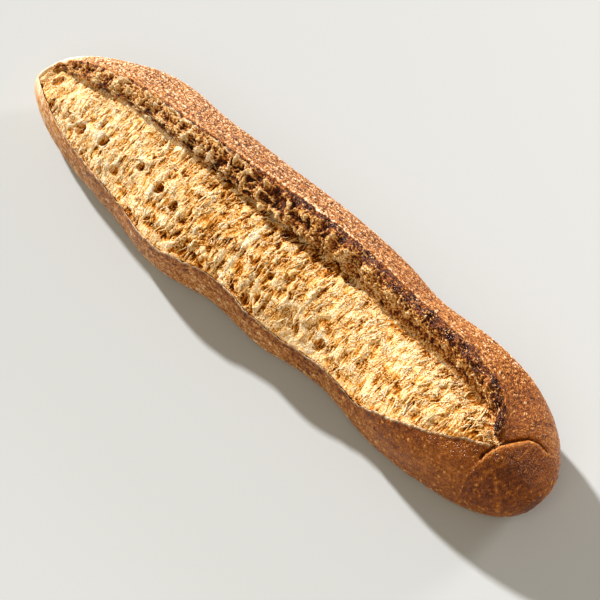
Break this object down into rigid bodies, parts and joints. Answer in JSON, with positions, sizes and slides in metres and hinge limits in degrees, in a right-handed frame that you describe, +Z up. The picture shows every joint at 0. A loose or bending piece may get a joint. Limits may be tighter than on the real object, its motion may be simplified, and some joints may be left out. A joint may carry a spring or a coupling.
{
  "type": "wheat bread loaf",
  "caption": "Long crusty wheat loaf with one lengthwise slash that has torn open, showing rough crumb under a raised ear of crust.",
  "frame": {"origin": "on the surface that the loaf rests on, under the middle of its length and width", "axes": "+X along the loaf towards its folded heel, +Y towards the side of the ear, +Z up"},
  "size_m": [0.4, 0.0952, 0.0634],
  "materials": {
    "crust": "baked wheat crust, dry and finely grainy, satin where it browned most",
    "crumb": "torn, toasted crumb, open and matt"
  },
  "bodies": {
    "root": {"loaf": "crust"}
  },
  "joints": []
}
